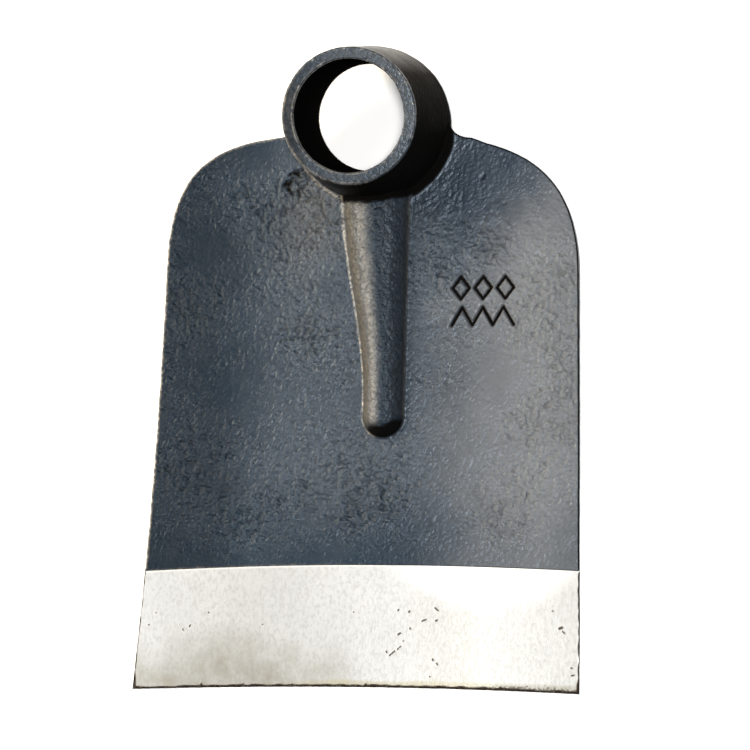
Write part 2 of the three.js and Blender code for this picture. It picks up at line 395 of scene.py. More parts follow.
def plate_face(x, y):
    """The face's height, its hollows and deep black places with the painted shade at the collar's foot among
    them, and its ridge, worn and painted as catching the light.
    """
    base = back_height(x, y) + plate_thickness(y)
    relief, hollow, deep = plate_relief(x, y)
    fillet, ridge, foot_shade = collar_fillet(x, y, base)
    deep = np.maximum(deep * (1 - ridge), foot_shade * smooth(-4, 8, x))
    return base + relief + fillet, np.maximum(hollow * (1 - ridge), foot_shade), deep, ridge


def plate_back(x, y):
    points = flat_points(x, y)
    bumps = 0.10 * noise(points, 14, 31) + 0.06 * noise(points, 4.5, 32)
    return back_height(x, y) + np.maximum(0, 0.12 + bumps)


# ---- outlines ----

def bezier(points, count):
    """Points along a Bezier curve of any degree, without its last point."""
    t = np.linspace(0, 1, count, endpoint=False)[:, None]
    level = [np.array(p, float)[None, :] * np.ones_like(t) for p in points]
    while len(level) > 1:
        level = [a * (1 - t) + b * t for a, b in zip(level, level[1:])]
    return level[0]


def resample(curve, spacing):
    """A curve's points at an even spacing, both ends kept."""
    along = np.concatenate([[0], np.cumsum(np.hypot(*np.diff(curve, axis=0).T))])
    count = max(2, int(round(along[-1] / spacing)) + 1)
    at = np.linspace(0, along[-1], count)
    return np.stack([np.interp(at, along, axis) for axis in curve.T], axis=1)


def cut_line():
    middle_y = (CORNER_LEFT[1] + CORNER_RIGHT[1]) / 2 + 2 * CUT_LINE_ARCH
    return np.vstack([bezier([CORNER_LEFT, (0, middle_y), CORNER_RIGHT], 200), [CORNER_RIGHT]])


def right_side():
    side = bezier([CORNER_RIGHT, (79.6, 80), SIDE_RIGHT], 200)
    shoulder = bezier([SIDE_RIGHT, (77.6, 184), (64, 196), SHOULDER_RIGHT], 200)
    foot = (COLLAR_BACK + COLLAR_OFFSET[0] + NECK_RADIUS + 0.8, NECK_HEIGHT - 5)
    neck = bezier([foot, (foot[0] - NECK_RADIUS, foot[1] + 0.4), (foot[0] - 8.3, foot[1] + 5.5)], 60)
    return np.vstack([side, shoulder, neck])


def left_side():
    """From the neck down to the cutting edge's left corner."""
    foot = (COLLAR_OFFSET[0] - COLLAR_BACK - NECK_RADIUS - 0.8, NECK_HEIGHT - 3)
    neck = bezier([(foot[0] + 8.3, foot[1] + 5), (foot[0] + NECK_RADIUS, foot[1] + 0.3), foot], 60)
    shoulder = bezier([SHOULDER_LEFT, (-66, 201), (-77.6, 190), SIDE_LEFT], 200)
    side = bezier([SIDE_LEFT, (-78.4, 70), CORNER_LEFT], 200)
    return np.vstack([neck, [foot], shoulder, side, [CORNER_LEFT]])


def grind_line(x):
    """Height of the grind line at x."""
    t = (x + GRIND_LINE_REACH) / (2 * GRIND_LINE_REACH)
    return arched(t, GRIND_LINE_LEFT, GRIND_LINE_RIGHT, GRIND_LINE_ARCH)


def wobble(curve, seed):
    """A sheared side isn't ruler straight."""
    points = flat_points(*curve.T)
    shift = 0.13 * noise(points, 11, seed) + 0.05 * noise(points, 3, seed + 1)
    return curve + np.stack([shift, shift * 0.4], axis=1)


def sheared_sides(ground):
    """The left and right sides as sheared, below the grind line if ground, else above it."""
    sides = []
    for curve, seed in ((left_side(), 61), (right_side(), 63)):
        below = curve[:, 1] < grind_line(curve[:, 0])
        sides.append(wobble(curve[below == ground], seed))
    return sides


NOTCH_DEPTH = 2.0
NOTCH_ANGLE = math.radians(90)


def notch_line():
    """The plate's inner edge, hidden just inside the collar's wall, from right to left."""
    angles = np.linspace(NOTCH_ANGLE, -NOTCH_ANGLE, 140)
    height = back_height(0.0, 200.0) + THICKNESS_EYE / 2
    ahead = (height - EYE_BACK[2]) / math.cos(EYE_TILT)
    share = min(1.0, 1 - ahead / EYE_DEPTH)
    radius = lerp(COLLAR_FRONT, COLLAR_BACK, share) - NOTCH_DEPTH
    side = COLLAR_OFFSET[0] * share + radius * np.sin(angles)
    up = COLLAR_OFFSET[1] * share - radius * np.cos(angles)
    return np.stack([side, EYE_BACK[1] + up / math.cos(EYE_TILT)], axis=1)


def part_loop(curves, spacing):
    """Joins open curves end to end into one closed loop. Returns points and each one's curve."""
    points, owner = [], []
    for index, curve in enumerate(curves):
        even = resample(curve, spacing)[:-1]
        points.append(even)
        owner += [index] * len(even)
    return np.vstack(points), np.array(owner)


# ---- mesh making ----

def add_object(name, data):
    made = bpy.data.objects.new(name, data)
    bpy.context.scene.collection.objects.link(made)
    return made


def make_piece(name, vertices, faces, attributes, material, replaced):
    """A mesh object in the row frame that stands for one CAD node."""
    mesh = bpy.data.meshes.new(name)
    placed = (np.asarray(vertices) + ROW_SHIFT) * MM
    mesh.from_pydata(placed.tolist(), [], faces)
    mesh.validate()
    for key, values in attributes.items():
        layer = mesh.attributes.new(key, "FLOAT", "POINT")
        layer.data.foreach_set("value", np.asarray(values, dtype=np.float32))
    mesh.polygons.foreach_set("use_smooth", [True] * len(mesh.polygons))
    mesh.materials.append(material)
    mesh.update()
    piece = add_object(name, mesh)
    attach(piece, "root")
    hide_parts(replaced)


def inside_loop(x, y, loop):
    """Which points lie inside a closed loop."""
    inside = np.zeros(len(x), bool)
    for (ax, ay), (bx, by) in zip(loop, np.roll(loop, -1, axis=0)):
        crosses = (ay > y) != (by > y)
        if ay != by:
            inside ^= crosses & (x < (bx - ax) * (y - ay) / (by - ay) + ax)
    return inside


LOOP_REACH = 3.0


def by_cell(x, y):
    """The indices of points, gathered by the square cells that they lie in."""
    cells = {}
    columns, rows = (x // LOOP_REACH).astype(int), (y // LOOP_REACH).astype(int)
    for index, key in enumerate(zip(columns.tolist(), rows.tolist())):
        cells.setdefault(key, []).append(index)
    return cells


def loop_distance(x, y, loop):
    """Distance from points to the nearest of a loop's vertices, or LOOP_REACH if that is less."""
    vertices = by_cell(*loop.T)
    distance = np.full(len(x), LOOP_REACH)
    for (kx, ky), members in by_cell(x, y).items():
        around = [vertices.get((kx + a, ky + b), ()) for a in (-1, 0, 1) for b in (-1, 0, 1)]
        near = list(itertools.chain.from_iterable(around))
        if near:
            gaps = np.hypot(x[members][:, None] - loop[near, 0], y[members][:, None] - loop[near, 1])
            distance[members] = np.minimum(LOOP_REACH, gaps.min(axis=1))
    return distance


def fill_points(loop, spacing, fine=None):
    """Staggered points inside a loop. fine is (middle, half size, spacing) of a denser patch."""
    def lattice(low, high, step):
        rows = np.arange(low[1], high[1], step * math.sqrt(3) / 2)
        columns = np.arange(low[0], high[0], step)
        x, y = np.meshgrid(columns, rows)
        x[1::2] += step / 2
        return x.ravel(), y.ravel()

    low, high = loop.min(axis=0), loop.max(axis=0)
    x, y = lattice(low, high, spacing)
    if fine:
        (cx, cy), (hx, hy), step = fine
        outside = (np.abs(x - cx) > hx) | (np.abs(y - cy) > hy)
        fine_x, fine_y = lattice((cx - hx, cy - hy), (cx + hx, cy + hy), step)
        x, y = np.concatenate([x[outside], fine_x]), np.concatenate([y[outside], fine_y])
    keep = inside_loop(x, y, loop)
    x, y = x[keep], y[keep]
    keep = loop_distance(x, y, loop) > 0.55 * min(spacing, 1.0)
    return x[keep], y[keep]


def triangulate(loop, spacing, fine=None):
    """Triangles over a loop's inside: all points with the loop's own first, and the triangles."""
    points = np.vstack([loop, np.stack(fill_points(loop, spacing, fine), axis=1)])
    count = len(loop)
    edges = [(k, (k + 1) % count) for k in range(count)]
    face = list(range(count))
    made = delaunay_2d_cdt([Vector(p) for p in points.tolist()], edges, [face], 1, 1e-7)
    origin = [sources[0] for sources in made[3]]
    triangles = [tuple(origin[v] for v in triangle) for triangle in made[2]]
    return points, triangles


ROUND_STEPS = 4


def sheet_piece(loop, radii, drops, face, back, spacings, fine=None):
    """A closed sheet over a loop: vertices, faces, and attributes with rim for the rounded rim.

    radii and drops give each loop point's rim width and how far the front rim falls there.
    face(x, y) gives heights and attributes, back(x, y) heights.
    """
    count = len(loop)
    after = np.roll(loop, -1, axis=0)
    along = after - np.roll(loop, 1, axis=0)
    along /= np.linalg.norm(along, axis=1)[:, None]
    clockwise = np.sum(loop[:, 0] * after[:, 1] - after[:, 0] * loop[:, 1]) < 0
    inward = np.stack([-along[:, 1], along[:, 0]], axis=1) * (-1 if clockwise else 1)

    def inset(share):
        return loop + inward * (radii * share)[:, None]

    # Each layer is points and attributes, and starts with its rim, so that layers join by index.
    front_points, front_triangles = triangulate(inset(1.0), spacings[0], fine)
    front_z, values = face(front_points[:, 0], front_points[:, 1])
    values["rim"] = np.where(np.arange(len(front_points)) < count, 0.35, 0.0)
    layers = [(np.column_stack([front_points, front_z]), values)]
    for step in range(1, ROUND_STEPS + 1):
        angle = step / ROUND_STEPS * math.pi / 2
        ring = inset(1 - math.sin(angle))
        z, values = face(ring[:, 0], ring[:, 1])
        values["rim"] = np.full(count, 1.0 if step < ROUND_STEPS else 0.7)
        layers.append((np.column_stack([ring, z - drops * (1 - math.cos(angle))]), values))
    rim_z = layers[-1][0][:, 2]
    back_z = back(loop[:, 0], loop[:, 1])
    low = np.minimum(rim_z - 0.05, back_z + radii * 0.5)
    wall = ((loop, lerp(rim_z, low, 0.5)), (loop, low), (inset(0.15), lerp(low, back_z, 0.7)))
    for ring, z in wall:
        layers.append((np.column_stack([ring, z]), {"rim": np.full(count, 0.2)}))
    back_points, back_triangles = triangulate(inset(0.5), spacings[1])
    back_heights = back(back_points[:, 0], back_points[:, 1])
    layers.append((np.column_stack([back_points, back_heights]), {}))

    starts = np.cumsum([0] + [len(points) for points, _ in layers[:-1]]).tolist()
    faces = list(front_triangles)
    for upper, lower in zip(starts, starts[1:]):
        for k in range(count):
            n = (k + 1) % count
            faces.append((upper + k, lower + k, lower + n, upper + n))
    faces += [tuple(starts[-1] + v for v in reversed(t)) for t in back_triangles]
    if clockwise:
        faces = [f[::-1] for f in faces]
    merged = {}
    for key in layers[0][1]:
        merged[key] = np.concatenate([values.get(key, np.zeros(len(points))) for points, values in layers])
    return np.vstack([points for points, _ in layers]), faces, merged


# ---- materials ----

# Colours of the dark finish, what lies on it, and the painted light and shade laid on it.
BLUE_BLACK = (0.012, 0.016, 0.021)
FLECKS = (0.035, 0.042, 0.050)
# Painted sheen: a lighter grey that stands in for reflected light.
PAINTED_SHEEN_GREY = (0.103, 0.104, 0.107)
CREVICE = (0.003, 0.004, 0.006)
# Black for painted shade, and also for deep marks and gouges.
SHADE_AND_MARK_BLACK = (0.0035, 0.0032, 0.003)
# Warm brown: mostly painted warm light on the sides facing the lamp, partly a warm tone on the face near the
# scar.
EARTH_AND_WARM_LIGHT = (0.118, 0.102, 0.074)
# Worn metal on the rims, also standing as painted highlight where rims and a ridge catch the light.
WORN_METAL_AND_HIGHLIGHT = (0.24, 0.22, 0.19)
COOL_REFLECTION = (0.69, 0.83, 1.0)

# Colours of the ground strip and what lies on it.
GROUND_DARK = (0.520, 0.527, 0.525)
GROUND_LIGHT = (0.560, 0.563, 0.556)
GRINDING_LINES = (0.44, 0.437, 0.428)
GROUND_FLECKS = (0.41, 0.408, 0.402)
GLARE = (0.72, 0.71, 0.69)
STAIN = (0.315, 0.302, 0.262)
STRAW = (0.40, 0.375, 0.29)
PIT_RUST = (0.05, 0.045, 0.04)
BURR = (0.014, 0.009, 0.006)

# Moves textures so that the planes between a noise's cells don't lie in the surface.
TEXTURE_SHIFT = (0.7131, 0.9177, 0.5219)


class Nodes:
    """A material's node tree, with one short method for each kind of node."""

    def __init__(self, name):
        self.material = bpy.data.materials.new(name)
        self.material.use_nodes = True
        self.tree = self.material.node_tree
        self.tree.nodes.clear()
        self.shader = self.make("BsdfPrincipled")
        self.make("OutputMaterial", Surface=self.shader.outputs[0])
        self.place = self.make("TexCoord").outputs["Object"]

    def put(self, socket, value):
        """Gives a socket another node's output, a colour or a number."""
        if isinstance(value, bpy.types.NodeSocket):
            self.tree.links.new(value, socket)
        else:
            socket.default_value = (*value, 1) if socket.type == "RGBA" else value

    def feed(self, name, value):
        """Gives one of the shader's inputs its value."""
        self.put(self.shader.inputs[name], value)

    def make(self, kind, *first, **named):
        """A new node, with its first inputs and some others given by name."""
        node = self.tree.nodes.new("ShaderNode" + kind)
        for socket, value in zip(node.inputs, first):
            self.put(socket, value)
        for name, value in named.items():
            self.put(node.inputs[name], value)
        return node

    def noise(self, size, detail=2.0, rough=0.5, scale=(1, 1, 1)):
        """Noise whose features are about size millimetres across."""
        moved = self.make("Mapping", self.place, Location=TEXTURE_SHIFT, Scale=scale).outputs[0]
        node = self.make("TexNoise", moved, Scale=1 / (size * MM), Detail=detail, Roughness=rough)
        return node.outputs["Fac"]

    def pebbles(self, size, drawn_out, turn):
        """Low in the middle of round cells about size millimetres across, and high between them.

        The cells are drawn out by a factor along a direction that is turn degrees from x.
        """
        turned = self.make("Mapping", Rotation=(0, 0, math.radians(turn)), Scale=(drawn_out, 1, 1))
        turned.vector_type = "TEXTURE"
        self.put(turned.inputs["Vector"], self.place)
        cells = self.make("TexVoronoi", turned.outputs[0], Scale=1 / (size * MM)).outputs["Distance"]
        return self.times(cells, cells)

    def spread(self, value, low, high, to_low=0.0, to_high=1.0):
        """Maps low to to_low and high to to_high, and clamps beyond them."""
        return self.make("MapRange", value, low, high, to_low, to_high).outputs[0]

    def maths(self, operation, a, b):
        node = self.make("Math", a, b)
        node.operation = operation
        return node.outputs[0]

    def times(self, a, b):
        return self.maths("MULTIPLY", a, b)

    def attribute(self, name):
        node = self.make("Attribute")
        node.attribute_name = name
        return node.outputs["Fac"]

    def mix(self, share, a, b):
        node = self.make("Mix", share)
        node.data_type = "RGBA"
        self.put(node.inputs[6], a)
        self.put(node.inputs[7], b)
        return node.outputs[2]

    def bump(self, height, distance, strength=1.0, below=None):
        node = self.make("Bump", Height=height, Strength=strength, Distance=distance * MM)
        if below is not None:
            self.put(node.inputs["Normal"], below)
        return node.outputs[0]


def dark_steel(name, deep, cool, wear=1.0):
    """Satin finish between two blue-blacks over forge scale, rubbed to metal on the rims, with painted sheen,
    warm light, highlights and shade laid into its colour.
    """
    n = Nodes(name)
    broad = n.noise(42, 3, 0.55)
    patches = n.noise(13, 4, 0.6)
    fleck = n.noise(0.9, 2, 0.6)
    colour = n.mix(n.spread(broad, 0.36, 0.66), deep, cool)
    colour = n.mix(n.spread(patches, 0.52, 0.74, 0, 0.4), colour, BLUE_BLACK)
    colour = n.mix(n.spread(fleck, 0.60, 0.78, 0, 0.25), colour, FLECKS)
    # Painted sheen: lighter where reflected light should be.
    light = n.attribute("painted_sheen")
    colour = n.mix(light, colour, PAINTED_SHEEN_GREY)
    hollow = n.attribute("hollow")
    fine = n.noise(1.3, 3, 0.62)
    pebbles = n.pebbles(1.3, 1.4, 52)
    pits = n.spread(n.times(pebbles, n.spread(fine, 0.62, 0.42, 0.2, 1)), 0.08, 0.34)
    rough = n.attribute("rough")
    crevice = n.times(n.times(pits, rough), 0.85)
    crevice = n.maths("MINIMUM", n.maths("MAXIMUM", crevice, hollow), 1)
    crevice = n.times(crevice, n.spread(light, 0, 0.7, 1, 0.30))
    colour = n.mix(n.times(crevice, 0.7), colour, CREVICE)
    shade = n.maths("MAXIMUM", n.attribute("shade"), n.times(crevice, 0.55))
    # Painted shade: blacker where the shade attribute is high, along with the deep marks.
    shade_blackening = n.spread(n.attribute("shade"), 0.4, 0.9)
    colour = n.mix(shade_blackening, colour, SHADE_AND_MARK_BLACK)
    # Painted warm light on lit sides, and a warm tone on part of the face.
    earth_and_warm_light = n.times(n.attribute("earth_and_warm_light"), n.spread(n.noise(2.4, 3, 0.6), 0.3, 0.6, 0.5, 1))
    colour = n.mix(earth_and_warm_light, colour, EARTH_AND_WARM_LIGHT)
    scratch = n.noise(1.6, 3, 0.6)
    # Worn metal on rims and the ridge, partly a painted highlight.
    edge = n.maths("MAXIMUM", n.attribute("rim"), n.attribute("worn_and_lit"))
    rim = n.times(edge, n.spread(scratch, 0.30, 0.62, 0, wear))
    colour = n.mix(rim, colour, WORN_METAL_AND_HIGHLIGHT)
    n.feed("Base Color", colour)
    n.feed("Roughness", n.maths("ADD", n.spread(patches, 0.3, 0.7, 0.30, 0.42), n.times(hollow, 0.2)))
    n.feed("Metallic", n.times(rim, 0.7))
    n.feed("IOR", 1.5)
    n.feed("Specular Tint", COOL_REFLECTION)
    n.feed("Specular IOR Level", n.spread(shade, 0, 1, 0.5, 0.0))
    grain = n.maths("SUBTRACT", n.spread(fine, 0.3, 0.7, 0, 1.2), n.spread(pebbles, 0, 0.6))
    skin = n.bump(n.times(grain, rough), 0.20)
    n.feed("Normal", n.bump(n.noise(0.5, 2, 0.6), 0.045, 0.8, skin))
    return n.material


def ground_steel(name):
    """Bare steel with fine grinding lines, small dark pits, a stain and a dark burr."""
    n = Nodes(name)
    lines = n.noise(0.8, 3, 0.65, (1, 0.09, 1))
    fine = n.noise(1.1, 4, 0.7, (1, 0.6, 1))
    clouds = n.noise(26, 3, 0.5)
    colour = n.mix(n.spread(clouds, 0.35, 0.68), GROUND_DARK, GROUND_LIGHT)
    colour = n.mix(n.spread(lines, 0.46, 0.70, 0, 0.42), colour, GRINDING_LINES)
    colour = n.mix(n.spread(fine, 0.46, 0.62, 0, 0.70), colour, GROUND_FLECKS)
    colour = n.mix(n.attribute("glare"), colour, GLARE)
    stain = n.times(n.attribute("stain"), n.spread(n.noise(3.2, 4, 0.6), 0.25, 0.6, 0.55, 1))
    colour = n.mix(stain, colour, STAIN)
    straw = n.times(n.attribute("straw"), n.spread(lines, 0.3, 0.6, 0.5, 1))
    colour = n.mix(straw, colour, STRAW)
    hollow = n.attribute("hollow")
    colour = n.mix(hollow, colour, PIT_RUST)
    burr = n.times(n.attribute("burr"), n.spread(n.noise(1.3, 3, 0.6), 0.2, 0.5, 0.8, 1))
    colour = n.mix(burr, colour, BURR)
    n.feed("Base Color", colour)
    dull = n.maths("MAXIMUM", hollow, burr)
    n.feed("Metallic", n.spread(dull, 0, 1, 0.9, 0.1))
    n.feed("Roughness", n.maths("ADD", n.spread(lines, 0.3, 0.7, 0.35, 0.38), n.times(dull, 0.35)))
    n.feed("Specular IOR Level", n.spread(dull, 0.2, 0.9, 0.5, 0.08))
    n.feed("Normal", n.bump(fine, 0.045, 0.7, n.bump(lines, 0.002, 0.4)))
    return n.material


# ---- pieces ----

PLATE_SPACING = (0.6, 2.0)
EDGE_SPACING = (0.37, 2.2)
LOOP_SPACING = 0.7
MARK_SPACING = 0.3
RIM_RADIUS = 0.7
GRIND_STEP = 0.16


def painted_sheen(x, y):
    """Painted light: the face lighter on its right side and in the middle, where reflected light should be,
    less so on its foot, and left dark beside the collar at the upper right as a painted shadow.
    """
    points = flat_points(x, y)
    wander = 7 * noise(points, 26, 41) + 3 * noise(points, 8, 43)
    streaks = 5 * noise(leaning(points, 0.45, 0.35), 5, 45)
    # Painted shadow: left of this edge, beside the collar, the face stays dark.
    lit_from = 27 + 31 * (np.maximum(0, y - 144) / 45) ** 0.4
    upper = smooth(-15, 17, x + wander + streaks - lit_from)
    lower = 0.30 * smooth(5, 40, x + wander) + 0.70 * smooth(20, 66, x + wander)
    field = 0.82 * lerp(lower, upper, smooth(132, 162, y + wander))
    field *= 1 - 0.18 * smooth(85, 55, y) - 0.22 * smooth(168, 192, y) - 0.22 * smooth(64, 78, x)
    middle = smooth(-62, -20, x + wander) * smooth(45, 80, y + wander)
    warm = spot(x, y, (-22, 165), (15, 17))
    return np.clip(field + 0.13 * middle + 0.08 * warm, 0, 1)


def shade_left_and_foot(x, y):
    """Painted shade: the face darker and less glossy towards the left side; also darker and less glossy
    towards the grind line.
    """
    wander = 8 * noise(flat_points(x, y), 22, 44)
    left = smooth(-22, -58, x + wander)
    foot = smooth(95, 52, y + wander) * smooth(60, 20, x)
    return 0.57 * np.maximum(left, 0.60 * foot)


def build_plate(material):
    left, right = sheared_sides(False)
    notch = notch_line()
    across = np.linspace(left[-1, 0], right[0, 0], 200)
    ground = np.stack([across, grind_line(across)], axis=1)
    curves = [ground, right, np.vstack([right[-1], notch[0]]), notch, np.vstack([notch[-1], left[0]]), left]
    loop, owner = part_loop(curves, LOOP_SPACING)
    outer = np.isin(owner, (1, 5))
    radii = np.where(outer, RIM_RADIUS, 0.12)
    drops = np.where(outer, RIM_RADIUS * 0.8, np.where(owner == 0, GRIND_STEP, 0.05))

    def face(x, y):
        z, hollow, deep, ridge = plate_face(x, y)
        return z, {
            "hollow": hollow,
            "painted_sheen": painted_sheen(x, y),
            "rough": 0.12 + 0.9 * scale_roughness(x, y),
            # Worn metal laid on the ridge, partly as a painted highlight.
            "worn_and_lit": 0.8 * ridge,
            # Painted shade on the left and towards the grind line, and the deep black of marks and gouges.
            "shade": np.maximum(shade_left_and_foot(x, y), deep),
            "earth_and_warm_light": 0.22 * spot(x, y, (-21, 176), (9, 16)),
        }

    fine = (MARK_MIDDLE, (MARK_HALF[0] + 1, MARK_HALF[1] + 1), MARK_SPACING)
    vertices, faces, values = sheet_piece(loop, radii, drops, face, plate_back, PLATE_SPACING, fine)
    # Painted shade on the right side's rim; the rim's worn colour is kept to the left side, where it stands
    # as a painted highlight.
    lit = smooth(10, -30, vertices[:, 0])
    values["shade"] = np.maximum(values["shade"], 0.95 * values["rim"] * (1 - lit))
    values["rim"] *= lit
    make_piece("blade", vertices, faces, values, material, "blade_plate")


# Pits in the ground strip, as (x, y, half width, streak length and its slope in degrees).
EDGE_PITS = (
    (-76.5, 28, 0.35, 0, 0), (-79, 23.5, 0.5, 0, 0), (-63.5, 23.5, 0.5, 0.5, 60), (-66, 22, 0.4, 0.5, 120),
    (-67.5, 24, 0.3, 0, 0), (-56.5, 28.5, 0.5, 0, 0), (-36, 24.5, 0.45, 0, 0), (-2, 29.5, 0.4, 0, 0),
    (14.5, 30.5, 0.35, 0.5, 45), (18.5, 30, 0.5, 0.5, 50), (28.5, 31, 0.4, 1.5, -40), (19, 24, 0.4, 0.5, -70),
    (15, 22, 0.5, 1, 30), (24, 27, 0.4, 1.5, 20), (28.5, 27, 0.5, 0.5, 25), (16.5, 19.5, 0.45, 0, 0),
    (12.5, 15, 0.4, 2.5, 40), (15, 17, 0.3, 1.5, 45), (10.5, 15.5, 0.4, 0.5, -60), (27.5, 13, 0.5, 0.5, -45),
    (29, 11.5, 0.4, 0.5, -60), (26.5, 7, 0.4, 0, 0), (70.5, 31, 0.5, 0, 0), (73.5, 25, 0.8, 1, 20),
    (74.5, 23.5, 0.4, 1, -50), (77.5, 11, 0.4, 0.5, -20), (78, 8.5, 0.4, 1, 15),
)
SHORTEST_STREAK = 0.01
EDGE_NICKS = (-58.5, -42.5, -24.5, 3.0, 31.0, 52.0)
BURR_WIDTH = 1.15
BURR_DROP = 0.15


def cut_height(x):
    """Height of the cutting edge at x."""
    t = (x - CORNER_LEFT[0]) / (CORNER_RIGHT[0] - CORNER_LEFT[0])
    return arched(t, CORNER_LEFT[1], CORNER_RIGHT[1], CUT_LINE_ARCH)


def edge_face(x, y):
    """The ground bevel's height, with its pits, and what colours it."""
    points = flat_points(x, y)
    z = back_height(x, y) + edge_thickness(y) - 0.04 + 0.02 * noise(points, 20, 51)
    hollow = np.zeros_like(x)
    for px, py, half_width, length, slope in EDGE_PITS:
        turn = math.radians(slope)
        dx, dy = length * math.cos(turn) / 2, length * math.sin(turn) / 2
        near = (np.abs(x - px) < 3) & (np.abs(y - py) < 3)
        if near.any():
            end = (px + dx, py + dy + SHORTEST_STREAK)
            gap = segment_distance(x[near], y[near], (px - dx, py - dy), end)
            cut = groove(gap, 0.8 * half_width + 0.18)
            z[near] -= 0.05 * cut
            hollow[near] = np.maximum(hollow[near], np.clip(cut * 1.9, 0, 1))
    above = y - cut_height(x)
    ragged = BURR_WIDTH * (0.75 + 0.55 * noise(points, 3.0, 53) + 0.25 * noise(points, 1.1, 54))
    for nick in EDGE_NICKS:
        ragged += 0.9 * band(x, nick, 0.55)
    burr = smooth(1.15, 0.55, above / np.maximum(0.2, ragged))
    z -= BURR_DROP * 0.35 * burr
    cloud = noise(points, 14, 55)
    left_stain = smooth(26, 8, y + 6 * cloud + 0.12 * np.abs(x + 48)) * smooth(6, -28, x + 8 * cloud)
    stain = np.clip(0.85 * left_stain * (1 + 0.3 * noise(points, 9, 57)), 0, 1)
    glare_floor = 32 + 0.011 * (x - 47) ** 2 + 2.5 * noise(points, 12, 58)
    glare = smooth(-5, 8, y - glare_floor) * smooth(4, 24, x) * smooth(83, 74, x)
    grind_lip = smooth(0.9, 0.3, grind_line(x) - y) * smooth(20, 0, x)
    glare = np.maximum(glare, 0.8 * grind_lip)
    straw = smooth(-40, -5, x) * smooth(62, 35, x) * smooth(3.0, 1.6, above + 0.7 * cloud)
    grit = smooth(0, 0.25, noise(points, 0.9, 60) + 0.9 - 0.55 * above) * smooth(24, 62, x + 5 * cloud)
    burr = np.maximum(burr, 0.7 * grit)
    stain = np.maximum(stain, smooth(24, 62, x) * smooth(4.0, 1.6, above))
    warmer = 0.18 * smooth(15, 45, x) + 0.32 * band(x, 34, 17)
    stain = np.maximum(stain, warmer * (1 - glare))
    return z, {"hollow": hollow, "burr": burr, "stain": stain, "straw": straw, "glare": glare}


def edge_back(x, y):
    points = flat_points(x, y)
    return back_height(x, y) + np.maximum(0, 0.03 + 0.03 * noise(points, 9, 33))


def build_edge(material):
    left, right = sheared_sides(True)
    across = np.linspace(right[-1, 0], left[0, 0], 200)
    top = np.stack([across, grind_line(across) - 0.06], axis=1)
    bottom = cut_line()[1:-1]
    bottom[:, 1] += 0.09 * noise(flat_points(*bottom.T), 2.2, 56)
    bottom = np.vstack([left[-1], bottom, right[0]])
    right = np.vstack([right, top[0]])
    left = np.vstack([top[-1], left])
    loop, owner = part_loop([bottom, right, top, left], LOOP_SPACING * 0.85)
    radii = np.choose(owner, [0.45, 0.4, 0.12, 0.4])
    drops = np.choose(owner, [0.45, 0.35, 0.10, 0.35])
    vertices, faces, values = sheet_piece(loop, radii, drops, edge_face, edge_back, EDGE_SPACING)
    sheared = loop[owner != 2]
    x, y, _ = vertices.T
    gap = loop_distance(x, y, sheared)
    line_width = 0.42 + 0.58 * smooth(8, 5, y) + 0.40 * noise(flat_points(x, y), 4, 59)
    values["burr"] = np.maximum(values["burr"], smooth(line_width + 0.25, line_width - 0.15, gap))
    make_piece("ground_edge", vertices, faces, values, material, "cutting_edge")


# ---- rib ----

RIB_ROUND_FROM = RIB_TIP[1] + RIB_HALF_WIDTH_TIP
RIB_SKIRT = 1.3
RIB_ACROSS = 72
RIB_ALONG = 190


def rib_shape(y):
    """The rib's centre and half width at y."""
    up = np.clip((y - RIB_TIP[1]) / (RIB_TOP[1] - RIB_TIP[1]), 0, 1.1)
    spread = smooth(0.16, 1, up)
    centre = lerp(RIB_TIP[0], RIB_TOP[0], spread)
    half = lerp(RIB_HALF_WIDTH_TIP, RIB_HALF_WIDTH_TOP, spread)
    return up, centre, half


def rib_rise(x, y):
    """The rib's height above the plate's face, and how far out from its middle a point is."""
    up, centre, half = rib_shape(y)
    below = np.minimum(0, y - RIB_ROUND_FROM) / RIB_HALF_WIDTH_TIP
    out = np.hypot((x - centre) / half, below)
    wavy = out * (1 + 0.02 * noise(flat_points(x, y), 8, 71))
    crown = np.maximum(0, 1 - wavy ** 2.3) ** 0.62
    foot = 0.75 * np.maximum(0, 1 - np.abs(out - 1.0) / 0.22) ** 2
    return lerp(RIB_HEIGHT_TIP, RIB_HEIGHT_TOP, up) * crown + foot, out


